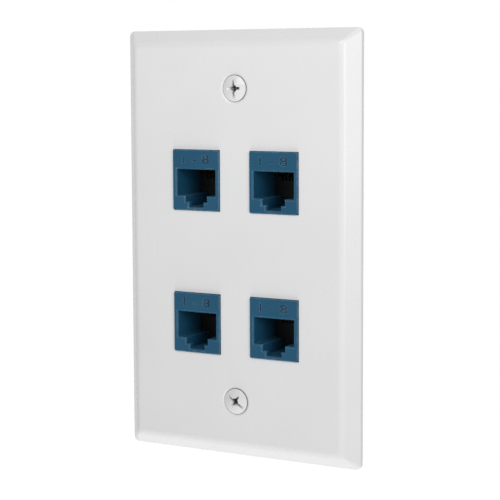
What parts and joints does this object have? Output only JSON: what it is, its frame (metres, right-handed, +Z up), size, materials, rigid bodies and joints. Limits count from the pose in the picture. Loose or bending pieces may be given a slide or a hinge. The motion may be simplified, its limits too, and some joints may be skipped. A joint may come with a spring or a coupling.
{
  "type": "keystone faceplate",
  "caption": "Flat bevelled single-gang wall plate with modular-plug couplers snapped into its keystone openings and oval-head screws that fix it to a wall box.",
  "frame": {"origin": "centre of the plate in X and Z, on the wall plane, which is the back of the rim", "axes": "+X to the right as seen from the room, +Y into the wall, +Z up; the front face looks along -Y"},
  "size_m": [0.0698, 0.0344, 0.1142],
  "materials": {
    "white_plastic": "fine satin gloss",
    "white_screw": "white enamel on the head, zinc on the shank",
    "blue_plastic": "semi-matt moulded",
    "black_insert": "matt moulded",
    "green_board": "solder mask",
    "gold_contacts": "gold-plated spring wire"
  },
  "bodies": {
    "root": {"faceplate": "white_plastic", "mounting_screws": "white_screw", "upper_left_front_housing": "blue_plastic", "upper_left_rear_housing": "blue_plastic", "upper_left_front_contact_block": "black_insert", "upper_left_rear_contact_block": "black_insert", "upper_left_circuit_board": "green_board", "upper_left_front_contacts": "gold_contacts", "upper_left_rear_contacts": "gold_contacts", "upper_right_front_housing": "blue_plastic", "upper_right_rear_housing": "blue_plastic", "upper_right_front_contact_block": "black_insert", "upper_right_rear_contact_block": "black_insert", "upper_right_circuit_board": "green_board", "upper_right_front_contacts": "gold_contacts", "upper_right_rear_contacts": "gold_contacts", "lower_left_front_housing": "blue_plastic", "lower_left_rear_housing": "blue_plastic", "lower_left_front_contact_block": "black_insert", "lower_left_rear_contact_block": "black_insert", "lower_left_circuit_board": "green_board", "lower_left_front_contacts": "gold_contacts", "lower_left_rear_contacts": "gold_contacts", "lower_right_front_housing": "blue_plastic", "lower_right_rear_housing": "blue_plastic", "lower_right_front_contact_block": "black_insert", "lower_right_rear_contact_block": "black_insert", "lower_right_circuit_board": "green_board", "lower_right_front_contacts": "gold_contacts", "lower_right_rear_contacts": "gold_contacts"}
  },
  "joints": []
}
